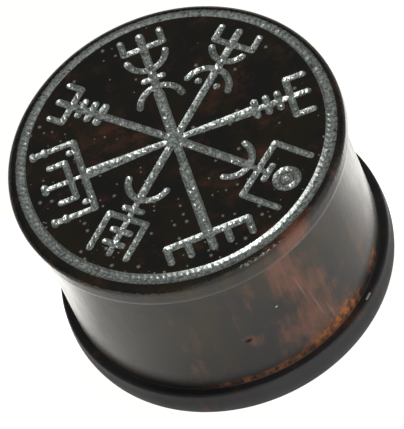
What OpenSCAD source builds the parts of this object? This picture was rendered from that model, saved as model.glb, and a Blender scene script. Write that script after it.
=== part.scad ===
// Double-flared ear plug, turned from one piece of dark wood.
// Its front face is engraved with a ring and a compass stave of eight arms,
// and every cut is filled with silver-coloured resin.
// The plug stands on its back face: +Z runs along its axis to the engraved
// face, and +Y is the way that the stave's north arm points.

/* [Plug] */
// Diameter of the waist, which the stretched lobe sits on
gauge_d = 16; // [14:1:24]
// How far each flare stands out from the waist
lip_h = 0.5; // [0.4:0.1:0.8]
// Length over both faces
plug_len = 11.5; // [9.5:0.5:16]
// Length of the front flare, from the face to its sharp edge
front_lip = 1.4; // [1:0.1:2]
// Length of the back flare, from the back face to its sharp edge
back_lip = 1.8; // [1:0.1:3]
// Radius of the hollow in the corner between the waist and the back flare
ledge_hollow = 0.15; // [0.1:0.05:0.3]
// Width of the front flare's rounded shoulder, across the face
shoulder_w = 1; // [0.8:0.1:1.2]
// Height of the front flare's rounded shoulder, along the axis
shoulder_h = 0.55; // [0.4:0.05:0.8]
// Width of the rounding round the back face, across it
foot_w = 0.8; // [0.5:0.1:1.2]
// Height of the rounding round the back face, along the axis
foot_h = 0.42; // [0.3:0.02:0.8]

/* [Engraving] */
// Distance from the flare's rim to the inner edge of the ring
ring_in = 0.96; // [0.9:0.02:1.2]
// Width of the ring's line
ring_w = 0.56; // [0.4:0.02:0.7]
// How far the ring's middle lies off the plug's axis, towards the east
ring_off = 0.08; // [0:0.02:0.1]
// Width of an arm's bars, tines, bows and dots
line_w = 0.38; // [0.3:0.02:0.44]
// Width of a wide stem
stem_w = 0.56; // [0.46:0.02:0.6]
// Width of a narrow stem
thin_w = 0.44; // [0.36:0.02:0.46]
// Depth of the cuts
cut_depth = 0.3; // [0.2:0.05:0.5]
// How far the top of the filling lies below the face
fill_sunk = 0.08; // [0.04:0.02:0.14]
// Gap between the filling and the walls of its cut
fill_gap = 0.02; // [0.01:0.01:0.03]

/* [Colours] */
// Colour of the wood
wood_colour = "#2b211c"; // [#2b211c:Dark, #4a3326:Brown, #6b4a32:Light]
// Colour of the filling
fill_colour = "#b9bcbb"; // [#b9bcbb:Silver, #c9a860:Gold, #e8e6e0:White]

/* [Hidden] */

waist_r = gauge_d / 2;
flare_r = waist_r + lip_h;
ring_r = flare_r - ring_in;
cut_floor = plug_len - cut_depth;

// The stave is drawn for a ring of this inner radius and grows with the ring.
DRAWN_RING_R = 7.54;
stave_scale = ring_r / DRAWN_RING_R;
// Where the arms meet, a little off the plug's axis
HUB = [0.15, 0.25];
// Heading of each arm, counted anticlockwise from +X
EAST = -1.7;
NORTH_EAST = 45.3;
NORTH = 90;
NORTH_WEST = 135;
WEST = 180.3;
SOUTH_WEST = 225.7;
SOUTH = 270.5;
SOUTH_EAST = 313.3;
// The loose marks: places in the arm's own axes, out from the hub and left
EYE_AT = [6.5, 0];
EYE_R = 0.55;
EYE_DOT_R = 0.2;
LEFT_DOT_AT = [3.45, 0.55];
RIGHT_DOT_AT = [3.45, -0.5];
LOOSE_DOT_R = 0.2;

LATHE_FN = 120;
STROKE_FN = 16;
EYE_FN = 32;
SHOULDER_STEPS = 8;
BOW_STEPS = 14;
OVERCUT = 1;

// Points along an arc of an ellipse, from one angle to another
function arc_points(centre, radii, from, to, steps) = [
    for (i = [0:steps])
        let (t = from + (to - from) * i / steps)
        [centre.x + radii.x * cos(t), centre.y + radii.y * sin(t)]
];

// Height of the shoulder's surface below the face, at a distance from the axis
function shoulder_drop(r) =
    let (reach = max(0, (r - flare_r + shoulder_w) / shoulder_w))
    shoulder_h * (1 - sqrt(1 - reach * reach));

// A rounded rim of the given width and height, whose widest point is at height z
function rounded_rim(size, z, from, to) =
    arc_points([flare_r - size.x, z], size, from, to, SHOULDER_STEPS);

// The hollow sweep between the waist and a flare, with its middle at the given height
function sweep(radius, height, from, to) =
    arc_points([waist_r + radius, height], [radius, radius], from, to, SHOULDER_STEPS);

// Half of the plug's outline: back face, back flare, waist, front flare, face
function plug_outline() = concat(
    [[0, 0]],
    rounded_rim([foot_w, foot_h], foot_h, -90, 0),
    [[flare_r, back_lip]],
    sweep(ledge_hollow, back_lip + ledge_hollow, 270, 180),
    sweep(lip_h, plug_len - front_lip - lip_h, 180, 90),
    rounded_rim([shoulder_w, shoulder_h], plug_len - shoulder_h, 0, 90),
    [[0, plug_len]]
);

// A straight stroke with round ends
module stroke(from, to, width = line_w) {
    run = to - from;
    translate(from)
        rotate(atan2(run.y, run.x))
            translate([0, -width / 2])
                square([norm(run), width]);
    for (end = [from, to])
        translate(end)
            circle(d = width, $fn = STROKE_FN);
}

// A stem from the hub out to its tip
module stem(tip_at, width = thin_w) {
    stroke([0, 0], [tip_at, 0], width);
}

// A stem that widens evenly on its way out
module tapered_stem(start_w, end_w, end_at) {
    polygon([[0, start_w / 2], [end_at, end_w / 2], [end_at, -end_w / 2], [0, -start_w / 2]]);
}

// A short bar across the arm, from the left to the right of it
module bar(bar_at, left, right, width = line_w) {
    stroke([bar_at, left], [bar_at, right], width);
}

// A bar with tines on its outer side: a trident, a bracket or a comb
module fork(bar_at, tip_at, tines, bar_w = line_w, tine_w = line_w) {
    bar(bar_at, max(tines), min(tines), bar_w);
    for (tine = tines)
        stroke([bar_at, tine], [tip_at, tine], tine_w);
}

// A bow across the arm: it opens to the hub, or outwards where opens_out is set
module bow(centre_at, radius, opens_out = false, half_turn = 80) {
    centre = [centre_at, 0];
    middle = opens_out ? 180 : 0;
    from = middle - half_turn;
    to = middle + half_turn;
    outer = radius + line_w / 2;
    inner = radius - line_w / 2;
    polygon(concat(
        arc_points(centre, [outer, outer], from, to, BOW_STEPS),
        arc_points(centre, [inner, inner], to, from, BOW_STEPS)
    ));
    for (turn = [from, to])
        translate(centre + radius * [cos(turn), sin(turn)])
            circle(d = line_w, $fn = STROKE_FN);
}

module north_arm() {
    wide_to = 3;
    stem(6.75);
    stem(wide_to, stem_w);
    bow(2.35, 1.12);
    bar(4, 0.48, -0.48);
    bow(5.6, 1.02, opens_out = true);
    fork(6, 6.75, [1.02, -1.04]);
}

module north_east_arm() {
    stem(6.7);
    bow(3.2, 1.18);
    bow(5.85, 0.96, opens_out = true, half_turn = 66);
    fork(5.92, 6.7, [0.98, -1.18]);
}

module east_arm() {
    stem(6.88, line_w);
    tapered_stem(0.36, 0.64, 4.2);
    for (bar_at = [4.2, 4.8, 5.4])
        bar(bar_at, 0.48, -0.42);
    fork(6, 6.88, [1.1, -1.15]);
}

module south_east_arm() {
    stem(4.3, 0.48);
    bow(3.28, 1.06);
    stroke([4.3, 0], [5.45, -0.05], 0.3);
    fork(4.9, 6.95, [1.6, -1.62]);
    bar(5.45, 0.38, -0.45);
}

module south_arm() {
    wide_from = 1.9;
    wide_to = 5.9;
    stem(6.98);
    stroke([wide_from, -0.05], [wide_to, -0.05], stem_w);
    fork(6.1, 6.95, [2.02, 0.88, -1.15, -2.18], bar_w = 0.46);
}

module south_west_arm() {
    stem(3.8, 0.46);
    stroke([3.8, 0], [7, 0.08], 0.34);
    bow(2.62, 1.1);
    bar(4.35, 0.48, -0.45);
    fork(4.9, 7, [1.05, -1.04]);
    bar(5.65, 0.52, -0.42);
    bar(6.4, 0.5, -0.45);
}

module west_arm() {
    bracket_at = 4.75;
    dot_r = 0.21;
    dot_at = bracket_at + line_w / 2 + 0.65 * dot_r;
    tapered_stem(0.36, 0.68, 4.6);
    stroke([4.6, 0], [5.45, 0.02], 0.26);
    fork(bracket_at, 6.85, [2.12, -2.14]);
    for (side = [2.12, -2.14], bar_at = [6.25, 6.85])
        bar(bar_at, side + 0.1, side - 0.1);
    for (side = [1.55, -1.6])
        translate([dot_at, side])
            circle(dot_r, $fn = STROKE_FN);
    fork(5.46, 6.25, [1.1, -1.14], bar_w = 0.34);
    stroke([5.46, 0.02], [6.8, 0.02], 0.34);
    bar(6.8, 0.2, -0.16);
}

module north_west_arm() {
    stem(6.72);
    bar(4.32, 0.42, -0.5, 0.48);
    bar(4.88, 0.42, -0.48, 0.42);
    bar(5.45, 0.4, -0.48);
    fork(6, 6.72, [1.02, -1.04]);
}

// Turns what is drawn in an arm's own axes to that arm's heading
module on_arm(heading) {
    scale(stave_scale)
        translate(HUB)
            rotate(heading)
                children();
}

// The joined strokes of all eight arms
module stave() {
    on_arm(NORTH) north_arm();
    on_arm(NORTH_EAST) north_east_arm();
    on_arm(EAST) east_arm();
    on_arm(SOUTH_EAST) south_east_arm();
    on_arm(SOUTH) south_arm();
    on_arm(SOUTH_WEST) south_west_arm();
    on_arm(WEST) west_arm();
    on_arm(NORTH_WEST) north_west_arm();
}

// The small ring near the tip of the south-east arm
module eye_ring() {
    on_arm(SOUTH_EAST)
        translate(EYE_AT)
            difference() {
                circle(EYE_R + line_w / 2, $fn = EYE_FN);
                circle(EYE_R - line_w / 2, $fn = EYE_FN);
            }
}

module eye_dot() {
    on_arm(SOUTH_EAST)
        translate(EYE_AT)
            circle(EYE_DOT_R, $fn = STROKE_FN);
}

// One of the two dots beside the north-east arm's stem
module loose_dot(place) {
    on_arm(NORTH_EAST)
        translate(place)
            circle(LOOSE_DOT_R, $fn = STROKE_FN);
}

// The ring's cut or filling, with its top a given depth below the wood.
// Its floor lies a full cut's depth below the shoulder at its outer edge, and
// its profile is drawn round its own middle.
module ring_band(top_sunk, gap) {
    inner = ring_r + gap;
    outer = ring_r + ring_w - gap;
    band_floor = cut_floor - shoulder_drop(ring_r + ring_w);
    translate([ring_off, 0, 0])
        rotate_extrude($fn = LATHE_FN)
            polygon([
                [inner, band_floor],
                [outer, band_floor],
                [outer, plug_len - shoulder_drop(outer) - top_sunk],
                [inner, plug_len - shoulder_drop(inner) - top_sunk]
            ]);
}

// A filling of the given outline, which lies on the floor of its cut
module inlay() {
    color(fill_colour)
        translate([0, 0, cut_floor])
            linear_extrude(cut_depth - fill_sunk)
                offset(delta = -fill_gap)
                    children();
}

module plug_body() {
    color(wood_colour)
        difference() {
            rotate_extrude($fn = LATHE_FN)
                polygon(plug_outline());
            ring_band(-OVERCUT, 0);
            translate([0, 0, cut_floor])
                linear_extrude(cut_depth + OVERCUT)
                    offset(delta = 0) {
                        stave();
                        eye_ring();
                        eye_dot();
                        loose_dot(LEFT_DOT_AT);
                        loose_dot(RIGHT_DOT_AT);
                    }
        }
}

module ring_inlay() {
    color(fill_colour)
        ring_band(fill_sunk, fill_gap);
}

module stave_inlay() {
    inlay() stave();
}

module eye_ring_inlay() {
    inlay() eye_ring();
}

module eye_dot_inlay() {
    inlay() eye_dot();
}

module left_dot_inlay() {
    inlay() loose_dot(LEFT_DOT_AT);
}

module right_dot_inlay() {
    inlay() loose_dot(RIGHT_DOT_AT);
}

plug_body();
ring_inlay();
stave_inlay();
eye_ring_inlay();
eye_dot_inlay();
left_dot_inlay();
right_dot_inlay();
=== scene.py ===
import math

import bpy
import numpy as np
from mathutils import Matrix, Vector


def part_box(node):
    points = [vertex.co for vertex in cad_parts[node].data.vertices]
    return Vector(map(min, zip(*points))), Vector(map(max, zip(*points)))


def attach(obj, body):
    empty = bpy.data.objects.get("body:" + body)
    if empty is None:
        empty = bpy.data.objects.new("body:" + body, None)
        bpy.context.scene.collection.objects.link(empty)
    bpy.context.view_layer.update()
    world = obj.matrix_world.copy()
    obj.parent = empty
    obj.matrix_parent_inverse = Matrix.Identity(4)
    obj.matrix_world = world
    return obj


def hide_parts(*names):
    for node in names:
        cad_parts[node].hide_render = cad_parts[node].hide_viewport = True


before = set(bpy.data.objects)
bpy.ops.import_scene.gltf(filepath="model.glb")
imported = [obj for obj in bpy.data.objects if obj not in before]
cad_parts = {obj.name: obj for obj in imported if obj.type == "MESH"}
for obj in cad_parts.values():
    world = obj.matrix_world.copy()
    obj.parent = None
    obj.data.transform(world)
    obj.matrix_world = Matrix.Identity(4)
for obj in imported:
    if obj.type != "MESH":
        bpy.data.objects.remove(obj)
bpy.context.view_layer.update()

MM = 0.001

# The sizes below are in millimetres. Places or heights closer than these count as one.
NEAR = 1e-3
TINY = 1e-6
MERGE_DECIMALS = 4

# The turned shape
WOOD_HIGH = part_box("plug_body")[1]
FLARE_R = WOOD_HIGH.x / MM
FACE_Z = WOOD_HIGH.z / MM
LIP_H = 0.5
WAIST_R = FLARE_R - LIP_H
FRONT_LIP = 1.4
BACK_LIP = 1.8
SHOULDER_W = 1.0
SHOULDER_H = 0.55
CUT_DEPTH = 0.3
CUT_FLOOR = FACE_Z - CUT_DEPTH

# The front lip's belly: its two radii, the angle it ends at, and the one its cove starts at
LIP_BELLY = 0.1
LIP_CURVE = 0.5
BELLY_END = -80
COVE_START = 103

# The back flare: its widest height, and the radii of its bulge above and below that, of its
# upper edge and of its foot
BULGE_Z = 1.0
BULGE_ABOVE = 6.0
BULGE_BELOW = 2.5
BACK_EDGE_R = 0.17
FOOT_R = 0.42

# The width and height of the hollow in the corner above the back flare
BACK_HOLLOW = (0.06, 0.08)

# Two loops on the flat back, as shares of the radius of the ring's inner edge
BACK_LOOPS = (0.6, 0.1)

# The ring, whose middle lies a little off the axis
INLAY_GAP = 0.02
RING_CUT_W = 0.56
RING_LOW, RING_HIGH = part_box("ring_inlay")
RING_X = (RING_LOW.x + RING_HIGH.x) / 2 / MM
RING_OUT = (RING_HIGH.x - RING_LOW.x) / 2 / MM + INLAY_GAP
RING_IN = RING_OUT - RING_CUT_W
RING_FLOOR = RING_LOW.z / MM

# The turned side begins RING_LAP from the inner wall of the ring's cut. The cut's outer wall is
# moved to the ring's middle, and past it the move fades out over SHIFT_FADE.
RING_LAP = 0.04
SHIFT_FADE = 0.25

# The margin by which the figure's edges lie inside the ring's and the face's own
RING_GUARD = 0.05

# The worn upper edge of each cut: a share of a quarter ellipse, so that it ends short of upright
WORN_W = 0.06
WORN_H = 0.035
WORN_SHARE = 0.96
WORN_POINTS = 5

# How a filling lies in its cut. A bowl is where its even slope ends and where it is level.
FILL_CLEAR = 0.004
FLOOR_CLEAR = 0.002
FILL_RIM = 0.08
FILL_DEEPEST = 0.285
BOWL_SLOPE = 1.25
FIGURE_BOWL = (0.05, 0.17)
RING_BOWL = (0.08, 0.17)
RING_RISE = 0.16
RING_BEADS = 164
RING_BEAD_H = 0.02

# The filling's grains: a coarse noise and a share of one half as wide, both growing from nothing
# at the wall to GRAIN_MOST times the grain's height
GRAIN_STEP = 0.17
FINE_GRAIN_STEP = GRAIN_STEP / 2
COARSE_SEED = 11
FINE_SEED = 12
FINE_SHARE = 0.6
GRAIN_MOST = 1.2
FIGURE_GRAIN_H = 0.052
RING_GRAIN_H = 0.025

# How fine the meshes are, how many points are measured at a time, and how many more lattice
# points the noise has than the plug is wide
WOOD_STEP = 0.055
FILL_STEP = 0.04
TURNS = 384
RING_TURNS = 1200
RING_POINTS_ACROSS = 17
SHARP_ANGLE = math.radians(50)
POINTS_AT_ONCE = 2000
NOISE_MARGIN = 4

# Steps along each arc of the turned side, from the front to the back
SHOULDER_STEPS = 14
BELLY_STEPS = 9
COVE_STEPS = 9
HOLLOW_STEPS = 12
EDGE_STEPS = 6
ABOVE_STEPS = 4
BELOW_STEPS = 5
FOOT_STEPS = 10


def face_outline(node):
    """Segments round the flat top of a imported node, as two arrays of points in millimetres.

    The triangles whose three corners lie at the node's top are taken, corners at one place are
    made one, and an edge that belongs to a single triangle is a segment of the outline.
    """
    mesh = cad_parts[node].data
    points = np.empty(len(mesh.vertices) * 3)
    mesh.vertices.foreach_get("co", points)
    points = points.reshape(-1, 3) / MM
    mesh.calc_loop_triangles()
    corners = np.empty(len(mesh.loop_triangles) * 3, int)
    mesh.loop_triangles.foreach_get("vertices", corners)
    corners = corners.reshape(-1, 3)
    on_top = np.all(points[corners][:, :, 2] > points[:, 2].max() - NEAR, axis=1)
    rounded = np.round(points[:, :2], MERGE_DECIMALS)
    places, same = np.unique(rounded, axis=0, return_inverse=True)
    rim = rim_edges(same.reshape(-1)[corners[on_top]])
    return places[rim[:, 0]], places[rim[:, 1]]


def rim_edges(triangles):
    """The directed edges that only one of the triangles has."""
    edges = np.concatenate([triangles[:, [0, 1]], triangles[:, [1, 2]], triangles[:, [2, 0]]])
    edges = edges[edges[:, 0] != edges[:, 1]]
    key = edges.min(axis=1) * (triangles.max() + 1) + edges.max(axis=1)
    first, count = np.unique(key, return_index=True, return_counts=True)[1:]
    return edges[first[count == 1]]


def to_outline(points, outline):
    """Each point's signed distance to the outline, negative inside it, and its nearest point there.

    A segment's nearest point is its start plus its run times the share of the run that the point
    projects to, held between 0 and 1. A point is inside if a line to its right crosses the outline
    an odd number of times.
    """
    start, end = outline
    run = end - start
    length2 = np.sum(run * run, axis=1)
    slant = run[:, 0] / np.where(run[:, 1] == 0, 1, run[:, 1])
    distance = []
    nearest = []
    for block in np.array_split(points, 1 + len(points) // POINTS_AT_ONCE):
        x, y = block[:, :1], block[:, 1:]
        dx, dy = x - start[:, 0], y - start[:, 1]
        share = np.clip((dx * run[:, 0] + dy * run[:, 1]) / length2, 0, 1)
        dx -= share * run[:, 0]
        dy -= share * run[:, 1]
        best = np.argmin(dx * dx + dy * dy, axis=1)
        rows = np.arange(len(block))
        away = np.stack([dx[rows, best], dy[rows, best]], axis=1)
        spans = (start[:, 1] > y) != (end[:, 1] > y)
        crosses = spans & (x < start[:, 0] + (y - start[:, 1]) * slant)
        inside = np.sum(crosses, axis=1) % 2 == 1
        distance.append(np.hypot(*away.T) * np.where(inside, -1, 1))
        nearest.append(block - away)
    return np.concatenate(distance), np.concatenate(nearest)


def trimmed_grid(step, low, high, field):
    """A square grid, trimmed along the line where field is 0.

    field gives each point's signed distance and its nearest point on the line. A grid point within
    half a step of the line is moved onto it and counts as 0, the others as +1 or -1. Each cell is
    cut along a diagonal that doesn't cross the line, and if it can along one that lies on it. A
    triangle is positive if its corners add up to more than 0, and where they are all 0 its middle
    decides. Returns the points, their distances, and the positive and the negative triangles.
    """
    ticks = [np.arange(math.floor(low[k] / step) - 1, math.ceil(high[k] / step) + 2) for k in (0, 1)]
    x, y = np.meshgrid(ticks[0] * step, ticks[1] * step, indexing="ij")
    points = np.stack([x.ravel(), y.ravel()], axis=1)
    distance, on_line = field(points)
    close = np.abs(distance) < step / 2
    points[close] = on_line[close]
    distance[close] = 0
    sign = np.sign(distance).astype(int)
    index = np.arange(len(points)).reshape(x.shape)
    a, b = index[:-1, :-1].ravel(), index[1:, :-1].ravel()
    c, d = index[1:, 1:].ravel(), index[:-1, 1:].ravel()
    crosses_ac = sign[a] * sign[c] < 0
    crosses_bd = sign[b] * sign[d] < 0
    lies_ac = (sign[a] == 0) & (sign[c] == 0)
    lies_bd = (sign[b] == 0) & (sign[d] == 0)
    cut_ac = ~crosses_ac & (crosses_bd | lies_ac | ~lies_bd)
    one = np.where(cut_ac[:, None], np.stack([a, b, c], 1), np.stack([a, b, d], 1))
    two = np.where(cut_ac[:, None], np.stack([a, c, d], 1), np.stack([b, c, d], 1))
    triangles = np.concatenate([one, two])
    total = sign[triangles].sum(axis=1)
    level = np.flatnonzero(np.all(sign[triangles] == 0, axis=1))
    if len(level):
        total[level] = np.where(field(points[triangles[level]].mean(axis=1))[0] > 0, 1, -1)
    return points, distance, triangles[total > 0], triangles[total < 0]


def smooth_noise(x, y, step, seed):
    """Noise between -1 and 1: random numbers on a square lattice, joined by a smoothstep blend."""
    side = int(2 * FLARE_R / step) + NOISE_MARGIN
    lattice = np.random.default_rng(seed).uniform(-1, 1, (side, side))
    u, v = x / step + side / 2, y / step + side / 2
    i, j = np.floor(u).astype(int), np.floor(v).astype(int)
    s, t = u - i, v - j
    s, t = s * s * (3 - 2 * s), t * t * (3 - 2 * t)
    near = lattice[i, j] * (1 - s) + lattice[i + 1, j] * s
    far = lattice[i, j + 1] * (1 - s) + lattice[i + 1, j + 1] * s
    return near * (1 - t) + far * t


def shoulder_drop(r):
    """How far the front shoulder lies below the face at radius r: a quarter of an ellipse."""
    out = np.clip((r - FLARE_R + SHOULDER_W) / SHOULDER_W, 0, 1)
    return SHOULDER_H * (1 - np.sqrt(1 - out * out))


def worn_drop(distance):
    """How far a cut's worn edge lies below the wood: part of an ellipse, level WORN_W away."""
    near = np.clip(1 - distance / WORN_W, 0, 1)
    return WORN_H * (1 - np.sqrt(1 - near * near * WORN_SHARE))


def filling_drop(x, y, distance, bowl, grain_h):
    """How far a filling's top lies below the wood, at a distance from the wall of its cut.

    It leaves the wall at FILL_RIM with the slope BOWL_SLOPE. The slope lasts as far as the bowl's
    first number and falls off evenly to nothing at its second. Two sizes of smooth noise make it
    grainy, except right at the wall.
    """
    straight, end = bowl
    bent = np.clip(distance - straight, 0, end - straight)
    dish = BOWL_SLOPE * (np.minimum(distance, straight) + bent - bent * bent / (2 * (end - straight)))
    fine = smooth_noise(x, y, FINE_GRAIN_STEP, FINE_SEED)
    grains = smooth_noise(x, y, GRAIN_STEP, COARSE_SEED) + FINE_SHARE * fine
    return FILL_RIM + dish + grain_h * grains * np.clip(distance / FINE_GRAIN_STEP, 0, GRAIN_MOST)


def walls(edges, upper, lower):
    """Upright walls along directed edges whose left side is solid, as triangles.

    upper and lower give each edge point's index at the wall's top and at its foot.
    """
    i, j = edges[:, 0], edges[:, 1]
    return np.concatenate([
        np.stack([upper[j], upper[i], lower[i]], axis=1),
        np.stack([upper[j], lower[i], lower[j]], axis=1),
    ])


def zipper(inner, inner_turn, outer, outer_turn):
    """Flat triangles between two loops round the axis, whose points are given with their angles.

    The points of both loops are taken in the order of their angles. Each one makes a triangle
    with the point before it on its own loop and the latest point of the other loop.
    """
    inner, inner_turn = inner[np.argsort(inner_turn)], np.sort(inner_turn)
    outer, outer_turn = outer[np.argsort(outer_turn)], np.sort(outer_turn)
    turns = np.concatenate([inner_turn, outer_turn])
    is_outer = np.concatenate([np.zeros(len(inner), bool), np.ones(len(outer), bool)])
    is_outer = is_outer[np.argsort(turns, kind="stable")]
    outer_count = np.cumsum(is_outer)
    inner_count = np.cumsum(~is_outer)
    on_inner = (inner_count - 1) % len(inner)
    on_outer = (outer_count - 1) % len(outer)
    before_inner = (inner_count - 2) % len(inner)
    before_outer = (outer_count - 2) % len(outer)
    from_inner = np.stack([inner[before_inner], outer[on_outer], inner[on_inner]], axis=1)
    from_outer = np.stack([outer[before_outer], outer[on_outer], inner[on_inner]], axis=1)
    return np.where(is_outer[:, None], from_outer, from_inner)


def turned(profile, turns):
    """A profile of (radius, height) points carried round the axis, from +X and anticlockwise.

    Returns the points in rows, one row for each profile point, and the triangles between them,
    which face away from the solid if it lies on the right of the profile.
    """
    turn = np.arange(turns) * 2 * math.pi / turns
    points = np.stack([
        np.outer(profile[:, 0], np.cos(turn)),
        np.outer(profile[:, 0], np.sin(turn)),
        np.outer(profile[:, 1], np.ones(turns)),
    ], axis=2)
    index = np.arange(len(profile) * turns).reshape(len(profile), turns)
    onward = np.roll(index, -1, axis=1)
    a, b = index[:-1].ravel(), index[1:].ravel()
    c, d = onward[1:].ravel(), onward[:-1].ravel()
    triangles = np.concatenate([np.stack([a, b, c], 1), np.stack([a, c, d], 1)])
    return points.reshape(-1, 3), index, triangles


def arc(centre, radii, start, end, steps):
    """Points along an arc of an ellipse, from one angle to another, in degrees."""
    turn = np.radians(np.linspace(start, end, steps + 1))
    return np.stack([centre[0] + radii[0] * np.cos(turn), centre[1] + radii[1] * np.sin(turn)], axis=1)


def side_profile():
    """The turned outline from the ring's floor over both flares to the back face's middle.

    The back flare bulges most at BULGE_Z, where two arcs meet. The arcs of its edge and its foot
    lie inside them and touch them, so the middles are as far apart as the radii differ.
    """
    worn = RING_OUT + WORN_W * np.linspace(0, 1, WORN_POINTS)
    wall_top = FACE_Z - shoulder_drop(worn) - worn_drop(worn - RING_OUT)
    shoulder_in = FLARE_R - SHOULDER_W
    start = math.degrees(math.acos((worn[-1] - shoulder_in) / SHOULDER_W))
    front_edge = FACE_Z - FRONT_LIP
    lip_middle = FLARE_R - LIP_BELLY, front_edge + LIP_CURVE
    edge_z = BACK_LIP - BACK_EDGE_R
    edge_turn = math.asin((edge_z - BULGE_Z) / (BULGE_ABOVE - BACK_EDGE_R))
    foot_turn = math.asin((BULGE_Z - FOOT_R) / (BULGE_BELOW - FOOT_R))
    edge_r = FLARE_R - BULGE_ABOVE + (BULGE_ABOVE - BACK_EDGE_R) * math.cos(edge_turn)
    foot_r = FLARE_R - BULGE_BELOW + (BULGE_BELOW - FOOT_R) * math.cos(foot_turn)
    edge_turn, foot_turn = math.degrees(edge_turn), math.degrees(foot_turn)
    hollow_middle = WAIST_R + BACK_HOLLOW[0], BACK_LIP + BACK_HOLLOW[1]
    return np.concatenate([
        [[RING_IN + RING_LAP, RING_FLOOR], [RING_OUT, RING_FLOOR]],
        np.stack([worn, wall_top], axis=1),
        arc((shoulder_in, FACE_Z - SHOULDER_H), (SHOULDER_W, SHOULDER_H), start, 0, SHOULDER_STEPS)[1:],
        arc(lip_middle, (LIP_BELLY, LIP_CURVE), 0, BELLY_END, BELLY_STEPS)[1:],
        arc((FLARE_R, front_edge - LIP_H), (LIP_H, LIP_H), COVE_START, 180, COVE_STEPS),
        arc(hollow_middle, BACK_HOLLOW, 180, 270, HOLLOW_STEPS),
        arc((edge_r, edge_z), (BACK_EDGE_R, BACK_EDGE_R), 90, edge_turn, EDGE_STEPS),
        arc((FLARE_R - BULGE_ABOVE, BULGE_Z), (BULGE_ABOVE, BULGE_ABOVE), edge_turn, 0, ABOVE_STEPS)[1:],
        arc((FLARE_R - BULGE_BELOW, BULGE_Z), (BULGE_BELOW, BULGE_BELOW), 0, -foot_turn, BELOW_STEPS)[1:],
        arc((foot_r, FOOT_R), (FOOT_R, FOOT_R), -foot_turn, -90, FOOT_STEPS)[1:],
        [[share * RING_IN, 0] for share in BACK_LOOPS],
    ])


def shifted_to_ring(side):
    """The turned side with the ring's wall moved to the ring's own middle.

    The move fades out over SHIFT_FADE past the wall, and moved points stay on the shoulder.
    """
    before = np.hypot(side[:, 0], side[:, 1])
    near = 1 - np.clip((before - RING_OUT - WORN_W) / SHIFT_FADE, 0, 1)
    near[side[:, 2] < FACE_Z - SHOULDER_H] = 0
    side = side + near[:, None] * np.array([RING_X, 0, 0])
    after = np.hypot(side[:, 0], side[:, 1])
    on_shoulder = side[:, 2] > RING_FLOOR + NEAR
    side[:, 2] -= np.where(on_shoulder & (near > 0), shoulder_drop(after) - shoulder_drop(before), 0)
    return side


def make_piece(name, points, triangles, material, replaces):
    """One shown mesh, in millimetres until here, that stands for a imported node."""
    used, corners = np.unique(triangles, return_inverse=True)
    mesh = bpy.data.meshes.new(name)
    mesh.from_pydata((points[used] * MM).tolist(), [], corners.reshape(-1, 3).tolist())
    mesh.polygons.foreach_set("use_smooth", np.ones(len(mesh.polygons), bool))
    mesh.set_sharp_from_angle(angle=SHARP_ANGLE)
    mesh.materials.append(material)
    piece = bpy.data.objects.new(name, mesh)
    bpy.context.scene.collection.objects.link(piece)
    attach(piece, "root")
    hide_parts(replaces)
    return piece


def cuts_outline():
    """The outline of the figure's cuts in the face, without the ring's and the face's own edges."""
    start, end = face_outline("plug_body")
    inside = np.hypot(start[:, 0] - RING_X, start[:, 1]) < RING_IN - RING_GUARD
    inside &= np.hypot(*start.T) < FLARE_R - SHOULDER_W - RING_GUARD
    return start[inside], end[inside]


def make_wood(material):
    """The turned wood: an engraved face, the walls and floors of its cuts, and the turned side.

    The face is a trimmed grid. Its line is the cuts' outline and the ring's inner edge, and its
    height falls off at the line as worn_drop says. The same grid, lowered, is the cuts' floor.
    """
    outline = cuts_outline()
    ring_middle = np.array([RING_X, 0])

    def field(points):
        """The distance to the nearer of the cuts' outline and the ring, and the point there."""
        distance, nearest = to_outline(points, outline)
        radius = np.maximum(np.hypot(*(points - ring_middle).T), TINY)
        to_ring = RING_IN - radius
        ring_nearer = np.abs(to_ring) < np.abs(distance)
        on_ring = ring_middle + (points - ring_middle) * (RING_IN / radius)[:, None]
        return (np.where(ring_nearer, to_ring, distance),
                np.where(ring_nearer[:, None], on_ring, nearest))

    low, high = (RING_X - RING_IN, -RING_IN), (RING_X + RING_IN, RING_IN)
    flat, distance, face, sunk = trimmed_grid(WOOD_STEP, low, high, field)
    from_middle = np.hypot(*(flat - ring_middle).T)
    sunk = sunk[np.all(from_middle[sunk] < RING_IN - RING_GUARD, axis=1)]
    top = FACE_Z - worn_drop(np.maximum(distance, 0)) - shoulder_drop(np.hypot(*flat.T))
    top = np.column_stack([flat, top])
    on_ring = (distance == 0) & (from_middle > RING_IN - RING_GUARD)
    foot = np.column_stack([flat, np.where(on_ring, RING_FLOOR, CUT_FLOOR)])
    rim = rim_edges(face)
    upper = np.arange(len(flat))
    lower = upper + len(flat)
    side, rows, side_faces = turned(side_profile(), TURNS)
    side = shifted_to_ring(side)
    first_side = 2 * len(flat)
    ring_foot = np.unique(rim[on_ring[rim]])
    join = zipper(
        lower[ring_foot], np.arctan2(flat[ring_foot, 1], flat[ring_foot, 0] - RING_X) % (2 * math.pi),
        first_side + rows[0], np.arange(TURNS) * 2 * math.pi / TURNS,
    )
    pole = first_side + len(side)
    last = first_side + rows[-1]
    back = np.stack([last, np.full(TURNS, pole), np.roll(last, -1)], axis=1)
    points = np.concatenate([top, foot, side, [[0, 0, 0]]])
    triangles = np.concatenate([
        face, sunk + len(flat), walls(rim, upper, lower), join, side_faces + first_side, back,
    ])
    return make_piece("plug_wood", points, triangles, material, "plug_body")


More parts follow.
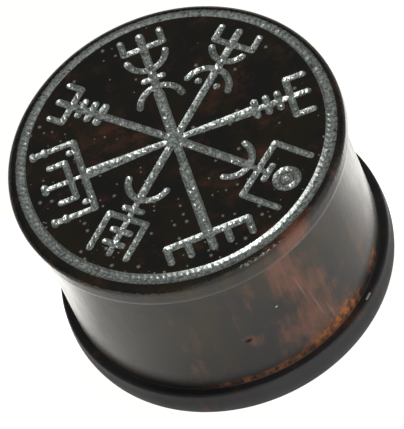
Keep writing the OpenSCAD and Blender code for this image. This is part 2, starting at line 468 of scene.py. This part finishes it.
def make_filling(node, material):
    """A filling of the figure: a trimmed grid over its cut, grainy and dished, with a flat foot.

    The trim line runs FILL_CLEAR inside the cut's wall, which lies INLAY_GAP outside the packed
    filling's own outline.
    """
    outline = face_outline(node)
    grow = INLAY_GAP - FILL_CLEAR

    def field(points):
        """The distance to the outline moved outwards by grow, positive inside, and the point there."""
        distance, nearest = to_outline(points, outline)
        outward = (points - nearest) / np.where(np.abs(distance) < TINY, 1, distance)[:, None]
        return grow - distance, nearest + outward * grow

    low, high = outline[0].min(axis=0) - grow, outline[0].max(axis=0) + grow
    flat, distance, over, _ = trimmed_grid(FILL_STEP, low, high, field)
    drop = filling_drop(flat[:, 0], flat[:, 1], np.maximum(distance, 0), FIGURE_BOWL, FIGURE_GRAIN_H)
    top = np.column_stack([flat, FACE_Z - np.minimum(drop, FILL_DEEPEST)])
    foot = np.column_stack([flat, np.full(len(flat), CUT_FLOOR + FLOOR_CLEAR)])
    upper = np.arange(len(flat))
    lower = upper + len(flat)
    triangles = np.concatenate([over, lower[over[:, ::-1]], walls(rim_edges(over), upper, lower)])
    name = node.replace("_inlay", "_filling")
    return make_piece(name, np.concatenate([top, foot]), triangles, material, node)


def make_ring_filling(material):
    """The ring's filling: a grainy band and its foot, carried round the ring's middle.

    The band is dished at its inner wall and rises evenly from there to the outer one. RING_BEADS
    waves run along it, highest halfway across and flat at both walls.
    """
    across = np.linspace(RING_IN + FILL_CLEAR, RING_OUT - FILL_CLEAR, RING_POINTS_ACROSS)
    foot = across[[0, len(across) // 2, -1]]
    profile = np.concatenate([
        np.stack([across[::-1], np.full(len(across), FACE_Z)], axis=1),
        np.stack([foot, np.full(len(foot), RING_FLOOR + FLOOR_CLEAR)], axis=1),
    ])
    profile = np.concatenate([profile, profile[:1]])[::-1]
    points, rows, triangles = turned(profile, RING_TURNS)
    triangles = np.where(triangles >= rows[-1, 0], triangles - rows[-1, 0], triangles)
    is_top = points[:, 2] > FACE_Z - TINY
    x, y = points[is_top, 0], points[is_top, 1]
    from_wall = np.hypot(x, y) - across[0]
    width = across[-1] - across[0]
    grain_h = RING_GRAIN_H * np.clip((width - from_wall) / GRAIN_STEP, 0, 1)
    drop = filling_drop(x, y, from_wall, RING_BOWL, grain_h)
    drop -= RING_RISE * np.clip((from_wall - RING_BOWL[1]) / (width - RING_BOWL[1]), 0, 1)
    share = from_wall / width
    drop += RING_BEAD_H * np.cos(RING_BEADS * np.arctan2(y, x)) * 4 * share * (1 - share)
    points[:, 0] += RING_X
    points[is_top, 2] -= np.minimum(drop, FILL_DEEPEST) + shoulder_drop(np.hypot(x + RING_X, y))
    return make_piece("ring_filling", points, triangles, material, "ring_inlay")


def feed(tree, sockets, values):
    """Sets each socket to its value or, where the value is a socket itself, links it."""
    for socket, value in zip(sockets, values):
        if isinstance(value, bpy.types.NodeSocket):
            tree.links.new(value, socket)
        else:
            socket.default_value = value


def joined(tree, kind, **inputs):
    """A new node with its named inputs fed. Returns the node."""
    node = tree.nodes.new(kind)
    feed(tree, [node.inputs[name] for name in inputs], inputs.values())
    return node


def eased(tree, value, start, end, low, high):
    """A value eased from low to high as the input goes from start to end."""
    node = tree.nodes.new("ShaderNodeMapRange")
    node.interpolation_type = "SMOOTHSTEP"
    feed(tree, node.inputs, (value, start, end, low, high))
    return node.outputs["Result"]


def maths(tree, operation, *values):
    """One step of arithmetic on numbers or sockets."""
    node = tree.nodes.new("ShaderNodeMath")
    node.operation = operation
    feed(tree, node.inputs, values)
    return node.outputs["Value"]


def vector_maths(tree, operation, vector, other=(0, 0, 0)):
    """One step of arithmetic on a vector socket and a plain vector. Returns the node."""
    node = tree.nodes.new("ShaderNodeVectorMath")
    node.operation = operation
    feed(tree, node.inputs, (vector, other))
    return node


def added(tree, sockets):
    """The sum of several sockets."""
    total = sockets[0]
    for socket in sockets[1:]:
        total = maths(tree, "ADD", total, socket)
    return total


def multiplied(tree, *factors):
    """The product of several numbers or sockets, of which the first is a socket."""
    product = factors[0]
    for factor in factors[1:]:
        product = maths(tree, "MULTIPLY", product, factor)
    return product


# The sockets of a Mix node that blends colours: its factor, its two colours and its result
MIX_FACTOR, MIX_LOW, MIX_HIGH, MIX_RESULT = 0, 6, 7, 2


def blended(tree, factor, low, high):
    """A colour mixed from low to high by a factor. Each of the two is a colour or a socket."""
    node = tree.nodes.new("ShaderNodeMix")
    node.data_type = "RGBA"
    colours = [(*colour, 1) if isinstance(colour, tuple) else colour for colour in (low, high)]
    feed(tree, [node.inputs[k] for k in (MIX_FACTOR, MIX_LOW, MIX_HIGH)], (factor, *colours))
    return node.outputs[MIX_RESULT]


def coated(tree, colour, coats):
    """A colour under several coats. Each is blended over the ones before it by its own factor."""
    for factor, coat in coats:
        colour = blended(tree, factor, colour, coat)
    return colour


def in_millimetres(tree, scale=(1, 1, 1)):
    """The piece's own coordinates in millimetres, each multiplied by its scale."""
    coords = tree.nodes.new("ShaderNodeTexCoord")
    mapping = joined(tree, "ShaderNodeMapping", Vector=coords.outputs["Object"])
    mapping.inputs["Scale"].default_value = [number / MM for number in scale]
    return mapping.outputs["Vector"]


def axes_of(tree):
    """The piece's own coordinates in millimetres, as outputs X, Y and Z."""
    return joined(tree, "ShaderNodeSeparateXYZ", Vector=in_millimetres(tree)).outputs


def noise(tree, per_mm, detail, roughness):
    """Noise with so many grains per millimetre along each axis."""
    node = joined(tree, "ShaderNodeTexNoise", Vector=in_millimetres(tree, per_mm), Scale=1)
    node.inputs["Detail"].default_value = detail
    node.inputs["Roughness"].default_value = roughness
    return node.outputs["Fac"]


def reach(tree, centre, radii):
    """How far a point lies from the centre, counted in radii, both in millimetres."""
    shift = vector_maths(tree, "SUBTRACT", in_millimetres(tree), centre)
    shrink = vector_maths(tree, "DIVIDE", shift.outputs["Vector"], radii)
    return vector_maths(tree, "LENGTH", shrink.outputs["Vector"]).outputs["Value"]


def zone(tree, centre, radii, weight):
    """A soft spot: the weight at its centre, eased to nothing at its radii."""
    return eased(tree, reach(tree, centre, radii), 0, 1, weight, 0)


def scratch(tree, start, end):
    """A thin line on the turned side, 1 along its middle, that fades out towards both ends.

    It is where a plane through both ends, square to the side, meets the wood.
    """
    start, end = Vector(start), Vector(end)
    middle = (start + end) / 2
    half = (end - start).length / 2
    square = (end - start).cross(Vector((middle.x, middle.y, 0))).normalized()
    shift = vector_maths(tree, "SUBTRACT", in_millimetres(tree), middle)
    off = vector_maths(tree, "DOT_PRODUCT", shift.outputs["Vector"], square).outputs["Value"]
    line = eased(tree, maths(tree, "ABSOLUTE", off), 0, SCRATCH_W, 1, 0)
    return multiplied(tree, line, zone(tree, middle, (half, half, half), 1))


def on_side(turn, height, radius=WAIST_R):
    """A place on the turned side, its turn counted anticlockwise from the front in degrees."""
    return radius * math.sin(math.radians(turn)), -radius * math.cos(math.radians(turn)), height


# The wood's colours
BROWN_BLACK = (0.016, 0.012, 0.006)
GREY_BLACK = (0.0095, 0.0085, 0.0085)
# A painted grey-blue sheen, laid over the back flare below the ledge
FLARE_SHEEN_GREY = (0.016, 0.0165, 0.019)
# Painted shade, low on the left of the waist
WAIST_SHADE_BLACK = (0.002, 0.002, 0.002)
RED_BROWN = (0.1, 0.037, 0.021)
RAW_ORANGE = (0.24, 0.08, 0.026)
SCRATCH_PINK = (0.3, 0.17, 0.14)
PIT_BLACK = (0.004, 0.003, 0.003)
FLECK_CREAM = (0.34, 0.3, 0.26)
SPECK_GREY = (0.62, 0.56, 0.54)
SMEAR_SILVER = (0.8, 0.84, 0.84)

# The wood's noises, as (grains per millimetre along each axis, detail, roughness)
LAYERS = ((0.3, 1.1, 0.03), 5, 0.6)
LINES = ((1.1, 8, 0.1), 4, 0.6)
FIBRES = ((4.5, 4.5, 0.25), 5, 0.65)
MOTTLE = ((1, 1, 0.5), 5, 0.65)
PATCHES = ((0.45, 0.45, 0.2), 2, 0.55)
BLOTCHES = ((3, 3, 2.6), 4, 0.7)
PORES = ((11, 11, 0.35), 3, 0.6)
DENTS = ((4.5, 4.5, 4.5), 2, 0.55)
LUMPS = ((9, 9, 9), 2, 0.55)
RAGS = ((8, 8, 8), 2, 0.5)

# How much each of four noises adds to a streak, and where the streaks turn from dark to red
LAYER_SHARE = 0.4
LINE_SHARE = 0.2
FIBRE_SHARE = 0.25
MOTTLE_SHARE = 0.9
STREAK_EDGE = (0.89, 1.33)

# Values of other noises and zones between which something begins and is full
PATCH_EDGE = (0.42, 0.58)
BLOTCH_EDGE = (0.4, 0.6)
SMEAR_EDGE = (0.35, 0.6)
FLECK_EDGE = (0.2, 0.7)
PORE_EDGE = (0.3, 0.55)
POLISH_EDGE = (0.3, 0.7)

# Heights between which the wood changes
LEDGE = (BACK_LIP, BACK_LIP + BACK_HOLLOW[1])
FOOT = (1.2, BACK_LIP)
LOW_WAIST = (BACK_LIP, 3.4)
GLOSSY = (FACE_Z - 1.2, FACE_Z - 0.6)
DENTED = (FACE_Z - 1, FACE_Z - 0.6)
FACE = (FACE_Z - 0.06, FACE_Z - 0.03)

# How raw the blotches are, and how much of that is left below the ledge
BLOTCH_RAWNESS = (0.1, 1.1)
FLARE_RAWNESS = 0.1

# The wood's gloss, and how rough the polish is. The others are added to it.
WOOD_IOR = 1.33
POLISH = (0.17, 0.27)
SHOULDER_GLOSS = -0.09
FOOT_WEAR = 0.16
LOW_WEAR = 0.25
MARK_WEAR = 0.25

# The wood's relief, in millimetres
PORE_DEPTH = 0.0009
FIBRE_H = 0.0012
MOTTLE_H = 0.012
WAIST_DENT_H = 0.005
SHOULDER_DENT_H = 0.03
LUMP_H = 0.05

# Where the wood is redder, as (centre, radii, weight). The fibres run along Z, so these do too.
LONG = 60
RED_ZONES = (
    ((-2.8, 1.5, 6), (3.4, 2.4, LONG), 0.16),
    ((3.2, 1.9, 6), (3.0, 1.8, LONG), 0.12),
    ((2.2, -3.2, 6), (2.8, 2.4, LONG), 0.08),
    (on_side(20, 9), (1.9, 1.5, 3.8), 0.38),
    (on_side(29, 4.6), (2.7, 2.1, 5), 0.26),
    (on_side(29, 11, FLARE_R), (2.3, 1.8, 1.4), 0.4),
    (on_side(57, 4.5), (1.2, 1.4, 3), 0.26),
    (on_side(16, 3.6), (1.9, 1.5, 2.6), 0.16),
    (on_side(3, 8.5), (1.5, 0.8, 2.2), 0.11),
    (on_side(1, 5), (0.8, 0.8, 0.9), 0.3),
)

# Where the polish is worn off, just above the back flare
RAW_ZONES = (
    (on_side(59, 2.4), (1.0, 1.3, 0.8), 0.7),
    (on_side(37, 2.3), (2.1, 1.9, 1.0), 1.1),
    (on_side(24, 2.2), (1.6, 1.2, 0.75), 0.7),
    (on_side(9, 2), (1.9, 0.9, 0.45), 0.65),
    (on_side(-8, 1.95), (2.4, 1.1, 0.4), 0.5),
)

# Single marks on the side: a pale fleck, a pale dash at the flare's edge, a pit, and a painted shade low
# on the left of the waist
DASH_R = FLARE_R - 0.18
FLECKS = (
    (on_side(13.2, 6.55), (0.12, 0.4, 0.09), 1),
    *[(on_side(turn, BACK_LIP, DASH_R), (0.1, 0.1, 0.05), 1) for turn in np.linspace(45.2, 47.6, 5)],
)
PIT = (on_side(-0.5, 5.05), (0.36, 0.6, 0.28), 1)
WAIST_PAINTED_SHADE = (on_side(-26, 3), (5.5, 3.5, 4), 0.8)

# Thin pale scratches on the side, from one place to another
SCRATCHES = (
    (on_side(26, 6.3), on_side(28.5, 3)),
    (on_side(30.4, 4.5), on_side(32.1, 2.3)),
    (on_side(22.5, 8.2), on_side(25, 5.2)),
)
SCRATCH_W = 0.08
SCRATCH_WEIGHT = 0.24

# The filling smeared over the wood round the small eye
EYE = sum(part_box("eye_dot_inlay"), Vector()) / 2 / MM
SMEAR = (EYE, (0.62, 0.62, 0.62), 1.5)
SMEAR_COVER = (0.2, 0.75)

# Two sizes of speck, as (cells per millimetre, share of cells with a speck, largest radius)
SPECK_SIZES = (
    (1.7, 0.42, 0.085),
    (3.1, 0.08, 0.05),
)

# The radius that stands for no speck
SMALLEST_SPECK = 1e-4

# Where a speck fades out, in its own radii plus some raggedness, and how well it covers the wood
SPECK_EDGE = (0.5, 2.2)
SPECK_RAGS = 1.2
SPECK_COVER = 0.75

# The specks are fewer in the north-east: over which sum of X and Y, and by what share
SPECK_THINNING = (-5, 7)
SPECK_LOSS = 0.75


def silver_specks(tree):
    """Specks of filling left in the wood's pores: one in some cells of a random pattern.

    Towards the north-east, more and more of them are dropped by the cell's second number.
    """
    axes = axes_of(tree)
    north_east = maths(tree, "ADD", axes["X"], axes["Y"])
    dropped = eased(tree, north_east, *SPECK_THINNING, 0, SPECK_LOSS)
    ragged = multiplied(tree, noise(tree, *RAGS), SPECK_RAGS)
    found = []
    for per_mm, share, most in SPECK_SIZES:
        cells = joined(tree, "ShaderNodeTexVoronoi", Vector=in_millimetres(tree), Scale=per_mm)
        cells.voronoi_dimensions = "2D"
        pick = joined(tree, "ShaderNodeSeparateColor", Color=cells.outputs["Color"]).outputs
        radius = multiplied(
            tree,
            eased(tree, pick["Red"], 1 - share, 1, 0, most * per_mm),
            maths(tree, "GREATER_THAN", pick["Red"], 1 - share),
            maths(tree, "GREATER_THAN", pick["Green"], dropped),
        )
        radius = maths(tree, "MAXIMUM", radius, SMALLEST_SPECK)
        edge = maths(tree, "DIVIDE", cells.outputs["Distance"], radius)
        found.append(eased(tree, maths(tree, "ADD", edge, ragged), *SPECK_EDGE, SPECK_COVER, 0))
    return maths(tree, "MAXIMUM", *found)


def wood_features(tree):
    """The noises and marks that the wood's colour, gloss and relief share, as sockets by name."""
    height = axes_of(tree)["Z"]
    fibres = noise(tree, *FIBRES)
    face = eased(tree, height, *FACE, 0, 1)
    on_flare = eased(tree, height, *LEDGE, 1, 0)
    raw = multiplied(
        tree,
        added(tree, [zone(tree, *place) for place in RAW_ZONES]),
        eased(tree, noise(tree, *BLOTCHES), *BLOTCH_EDGE, *BLOTCH_RAWNESS),
        eased(tree, on_flare, 0, 1, 1, FLARE_RAWNESS),
    )
    smear = multiplied(tree, zone(tree, *SMEAR), eased(tree, fibres, *SMEAR_EDGE, *SMEAR_COVER))
    specks = multiplied(tree, face, maths(tree, "MAXIMUM", silver_specks(tree), smear))
    return {
        "height": height,
        "fibres": fibres,
        "mottle": noise(tree, *MOTTLE),
        "face": face,
        "on_flare": on_flare,
        "raw": raw,
        "pit": zone(tree, *PIT),
        "smear": smear,
        "specks": specks,
    }


def wood_colour(tree, wood):
    """Near-black wood under coats: a painted grey sheen on the flare, a painted shade, red streaks, raw
    wood, marks and specks.
    """
    streaks = added(tree, [
        multiplied(tree, noise(tree, *LAYERS), LAYER_SHARE),
        multiplied(tree, noise(tree, *LINES), LINE_SHARE),
        multiplied(tree, wood["fibres"], FIBRE_SHARE),
        multiplied(tree, wood["mottle"], MOTTLE_SHARE),
        *[zone(tree, *place) for place in RED_ZONES],
    ])
    scratches = added(tree, [scratch(tree, *ends) for ends in SCRATCHES])
    flecks = added(tree, [zone(tree, *place) for place in FLECKS])
    patches = eased(tree, noise(tree, *PATCHES), *PATCH_EDGE, 0, 1)
    return coated(tree, blended(tree, patches, BROWN_BLACK, GREY_BLACK), (
        # Painted grey-blue sheen on the back flare
        (wood["on_flare"], FLARE_SHEEN_GREY),
        # Painted shade low on the left of the waist
        (zone(tree, *WAIST_PAINTED_SHADE), WAIST_SHADE_BLACK),
        (eased(tree, streaks, *STREAK_EDGE, 0, 1), RED_BROWN),
        (wood["raw"], RAW_ORANGE),
        (multiplied(tree, scratches, SCRATCH_WEIGHT), SCRATCH_PINK),
        (wood["pit"], PIT_BLACK),
        (eased(tree, flecks, *FLECK_EDGE, 0, 1), FLECK_CREAM),
        (wood["specks"], blended(tree, wood["smear"], SPECK_GREY, SMEAR_SILVER)),
    ))


def wood_roughness(tree, wood):
    """The polish: glossier on the shoulder, duller towards the foot and where the wood is marked."""
    return added(tree, [
        eased(tree, wood["mottle"], *POLISH_EDGE, *POLISH),
        eased(tree, wood["height"], *GLOSSY, 0, SHOULDER_GLOSS),
        eased(tree, wood["height"], *FOOT, FOOT_WEAR, 0),
        eased(tree, wood["height"], *LOW_WAIST, LOW_WEAR, 0),
        wood["pit"],
        multiplied(tree, added(tree, [wood["raw"], wood["specks"]]), MARK_WEAR),
    ])


def wood_relief(tree, wood):
    """The height of pores, fibres and mottle, of dents everywhere but on the face, and of the smear."""
    dents = eased(tree, wood["height"], *DENTED, WAIST_DENT_H, SHOULDER_DENT_H)
    off_face = maths(tree, "SUBTRACT", dents, multiplied(tree, wood["face"], SHOULDER_DENT_H))
    return added(tree, [
        multiplied(tree, eased(tree, noise(tree, *PORES), *PORE_EDGE, -1, 0), PORE_DEPTH),
        multiplied(tree, wood["fibres"], FIBRE_H),
        multiplied(tree, wood["mottle"], MOTTLE_H),
        multiplied(tree, noise(tree, *DENTS), off_face),
        multiplied(tree, noise(tree, *LUMPS), multiplied(tree, wood["smear"], LUMP_H)),
    ])


def new_material(name):
    """A node material, with its tree and its shader."""
    material = bpy.data.materials.new(name)
    material.use_nodes = True
    return material, material.node_tree, material.node_tree.nodes["Principled BSDF"]


def emboss(tree, shader, relief):
    """Gives the shader a relief, a socket that holds its height in millimetres."""
    bump = joined(tree, "ShaderNodeBump", Height=relief, Distance=MM, Strength=1)
    tree.links.new(bump.outputs["Normal"], shader.inputs["Normal"])


def wood_material():
    """Dark polished wood, its fibres along Z: end grain on the face, long streaks on the side."""
    material, tree, shader = new_material("dark_wood")
    wood = wood_features(tree)
    shader.inputs["IOR"].default_value = WOOD_IOR
    tree.links.new(wood_colour(tree, wood), shader.inputs["Base Color"])
    tree.links.new(wood["specks"], shader.inputs["Metallic"])
    tree.links.new(wood_roughness(tree, wood), shader.inputs["Roughness"])
    emboss(tree, shader, wood_relief(tree, wood))
    return material


# The filling's colours
DULL_PASTE = (0.38, 0.41, 0.39)
BRIGHT_PASTE = (0.84, 0.88, 0.87)
# The grey of the dark gaps in the paste, which grow towards the bottom of a cut
GAP_GREY = (0.2, 0.2, 0.17)
# Black for the painted shade at the ring's outer edge
RING_SHADE_BLACK = (0, 0, 0)

# The filling's noises, as the wood's are given, and where each begins and is full
GRAINS = ((9, 9, 9), 3, 0.6)
GAPS = ((3.2, 5.5, 3.2), 3, 0.6)
CRUMBS = ((14, 14, 14), 2, 0.5)
BRIGHT_EDGE = (0.35, 0.65)
GAP_EDGE = (0.64, 0.74)
GLINT_EDGE = (0.3, 0.7)

# The roughness of the dullest and of the brightest grains
GLINT = (0.4, 0.24)

# The heights between which a cut is deep, and how much is added to the dark gaps there, so the paste is
# darker towards the bottom of a cut
DEEP = (FACE_Z - 0.26, FACE_Z - 0.12)
DEEP_DARKENING = 0.1

# The ring's outer edge is darkened by a painted shade: over what width, and by how much
RING_SHADE_W = 0.3
RING_SHADE = 0.5

# The height of the crumbs in millimetres, and the hub of the arms, where they are coarser
CRUMB_H = 0.011
HUB = ((0.24, 0.05, FACE_Z), (1, 1, 1), 0.03)


def filling_material():
    """Silver paste: metal grains that glint, with dark gaps, more towards the bottom of the cuts, and a
    painted shade at the ring's outer edge.
    """
    material, tree, shader = new_material("silver_filling")
    grains = noise(tree, *GRAINS)
    crumbs = noise(tree, *CRUMBS)
    depth = eased(tree, axes_of(tree)["Z"], *DEEP, DEEP_DARKENING, 0)
    # Dark gaps in the paste, more of them towards the bottom of a cut
    dark_gaps = eased(tree, maths(tree, "ADD", noise(tree, *GAPS), depth), *GAP_EDGE, 0, 1)
    from_middle = reach(tree, (RING_X, 0, FACE_Z), (1, 1, 1))
    # Painted shade along the ring's outer edge
    shade = eased(tree, from_middle, RING_OUT - RING_SHADE_W, RING_OUT, 0, RING_SHADE)
    paste = blended(tree, eased(tree, grains, *BRIGHT_EDGE, 0, 1), DULL_PASTE, BRIGHT_PASTE)
    colour = coated(tree, paste, ((dark_gaps, GAP_GREY), (shade, RING_SHADE_BLACK)))
    shader.inputs["Metallic"].default_value = 1
    tree.links.new(colour, shader.inputs["Base Color"])
    tree.links.new(eased(tree, grains, *GLINT_EDGE, *GLINT), shader.inputs["Roughness"])
    crumb_h = maths(tree, "ADD", zone(tree, *HUB), CRUMB_H)
    emboss(tree, shader, multiplied(tree, crumbs, crumb_h))
    return material


# The camera, as the photograph shows the plug. Lengths without another unit are in millimetres.
PHOTO_W = 404
PHOTO_H = 429
FOCAL_PX = 6000
SENSOR_W = 36
FACE_MIDDLE_PX = (173.1, 143.4)
FACE_AWAY = 291.38
CAMERA_ELEVATION = math.radians(52.55)
CAMERA_TURN = math.radians(4.3)
CAMERA_ROLL = math.radians(24.76)
CLIP_START = 10
CLIP_END = 10000


def make_camera():
    """A camera with a long lens that sees the middle of the face at FACE_MIDDLE_PX."""
    data = bpy.data.cameras.new("camera")
    data.sensor_width = SENSOR_W
    data.lens = FOCAL_PX / PHOTO_H * SENSOR_W
    data.clip_start = CLIP_START * MM
    data.clip_end = CLIP_END * MM
    camera = bpy.data.objects.new("camera", data)
    turn = Matrix.Rotation(CAMERA_TURN, 3, "Z")
    tilt = Matrix.Rotation(math.pi / 2 - CAMERA_ELEVATION, 3, "X")
    roll = Matrix.Rotation(-CAMERA_ROLL, 3, "Z")
    axes = turn @ tilt @ roll
    off_x = (FACE_MIDDLE_PX[0] - PHOTO_W / 2) / FOCAL_PX * FACE_AWAY
    off_y = (PHOTO_H / 2 - FACE_MIDDLE_PX[1]) / FOCAL_PX * FACE_AWAY
    place = Vector((0, 0, FACE_Z)) - axes @ Vector((off_x, off_y, -FACE_AWAY))
    camera.matrix_world = Matrix.Translation(place * MM) @ axes.to_4x4()
    bpy.context.scene.collection.objects.link(camera)
    bpy.context.scene.camera = camera


# Half the floor's width in metres, its own colour and the colour of its glow
FLOOR_HALF = 1.5
FLOOR_GREY = (0.1, 0.1, 0.1, 1)
FLOOR_WHITE = (1, 0.985, 0.94, 1)
FLOOR_ROUGHNESS = 0.9

# The floor's glow: even round the plug, stronger well in front of it and in a spot at each side,
# and weaker behind it, outside an oval whose middle and radii are given
FLOOR_GLOW = (1.02, 1.9)
WELL_IN_FRONT = (10, 26)
SIDE_SPOTS = (
    ((12, 2.5, 0), (7, 7, 7), 1.4),
    ((-12.5, 3, 0), (6.5, 6.5, 6.5), 1.8),
)
DIMMING = -0.55
DIM_BEHIND = (-4, 8)
BRIGHT_OVAL = ((-0.2, 4.3, 0), (15, 19, 15))
OVAL_EDGE = (1, 1.5)


def make_floor():
    """A plain white floor that glows like a light table, more in front of the plug than behind."""
    mesh = bpy.data.meshes.new("floor")
    corners = [(x * FLOOR_HALF, y * FLOOR_HALF, 0) for x, y in ((-1, -1), (1, -1), (1, 1), (-1, 1))]
    mesh.from_pydata(corners, [], [(0, 1, 2, 3)])
    material, tree, shader = new_material("pale_floor")
    shader.inputs["Base Color"].default_value = FLOOR_GREY
    shader.inputs["Roughness"].default_value = FLOOR_ROUGHNESS
    shader.inputs["Specular IOR Level"].default_value = 0
    shader.inputs["Emission Color"].default_value = FLOOR_WHITE
    front = multiplied(tree, axes_of(tree)["Y"], -1)
    outside = eased(tree, reach(tree, *BRIGHT_OVAL), *OVAL_EDGE, 0, 1)
    glow = added(tree, [
        eased(tree, front, *WELL_IN_FRONT, *FLOOR_GLOW),
        *[zone(tree, *spot) for spot in SIDE_SPOTS],
        multiplied(tree, eased(tree, front, *DIM_BEHIND, 1, 0), outside, DIMMING),
    ])
    tree.links.new(glow, shader.inputs["Emission Strength"])
    mesh.materials.append(material)
    floor = bpy.data.objects.new("floor", mesh)
    bpy.context.scene.collection.objects.link(floor)


# The room: its tint, the glows of its walls and its ceiling, and how far up one becomes the other
ROOM_TINT = (0.98, 1, 0.96, 1)
WALL_AND_CEILING_GLOW = (0.12, 0.29)
WALL_TOP = (0.15, 0.75)

# Two bright windows, as (elevation, turn, half width at full glow, half width at no glow, glow),
# their angles in degrees and their turns counted anticlockwise from the front
WINDOWS = (
    (10, 14, 20, 46, 1.6),
    (12, 68, 8, 28, 1.3),
)

# The lamp in front of the plug: how far it is from the face in metres, its angles in degrees as
# seen from there, and the glow of its disc
LAMP_AWAY = 0.4
LAMP_HALF_ANGLE = 5
LAMP_ELEVATION = 38
LAMP_TURN = 22.5
LAMP_GLOW = 20


def direction(elevation, turn):
    """The way to a light at an elevation, turned anticlockwise from the front, in degrees."""
    elevation, turn = math.radians(elevation), math.radians(turn)
    level = math.cos(elevation)
    return Vector((level * math.sin(turn), -level * math.cos(turn), math.sin(elevation)))


def make_room():
    """Dim walls, a brighter ceiling, and two bright windows low in the walls."""
    world = bpy.data.worlds.new("studio")
    bpy.context.scene.world = world
    world.use_nodes = True
    tree = world.node_tree
    background = tree.nodes["Background"]
    way = tree.nodes.new("ShaderNodeTexCoord").outputs["Generated"]
    up = joined(tree, "ShaderNodeSeparateXYZ", Vector=way).outputs["Z"]
    glows = [eased(tree, up, *WALL_TOP, *WALL_AND_CEILING_GLOW)]
    for elevation, turn, bright, dark, glow in WINDOWS:
        nearness = vector_maths(tree, "DOT_PRODUCT", way, direction(elevation, turn)).outputs["Value"]
        limits = math.cos(math.radians(dark)), math.cos(math.radians(bright))
        glows.append(eased(tree, nearness, *limits, 0, glow))
    tree.links.new(added(tree, glows), background.inputs["Strength"])
    background.inputs["Color"].default_value = ROOM_TINT


def make_lamp():
    """A small round lamp in front, above the windows, that shines at the plug."""
    data = bpy.data.lights.new("lamp", "AREA")
    data.shape = "DISK"
    data.size = 2 * LAMP_AWAY * math.tan(math.radians(LAMP_HALF_ANGLE))
    area = math.pi * data.size * data.size / 4
    data.energy = LAMP_GLOW * math.pi * area
    lamp = bpy.data.objects.new("lamp", data)
    toward = direction(LAMP_ELEVATION, LAMP_TURN)
    lamp.location = toward * LAMP_AWAY + Vector((0, 0, FACE_Z * MM))
    lamp.rotation_euler = toward.to_track_quat("Z", "Y").to_euler()
    bpy.context.scene.collection.objects.link(lamp)


FIGURE_INLAYS = ("stave_inlay", "eye_ring_inlay", "eye_dot_inlay", "left_dot_inlay", "right_dot_inlay")

make_camera()
wood = wood_material()
silver = filling_material()
make_wood(wood)
make_ring_filling(silver)
for inlay in FIGURE_INLAYS:
    make_filling(inlay, silver)
make_floor()
make_room()
make_lamp()
bpy.context.scene.view_settings.view_transform = "Standard"
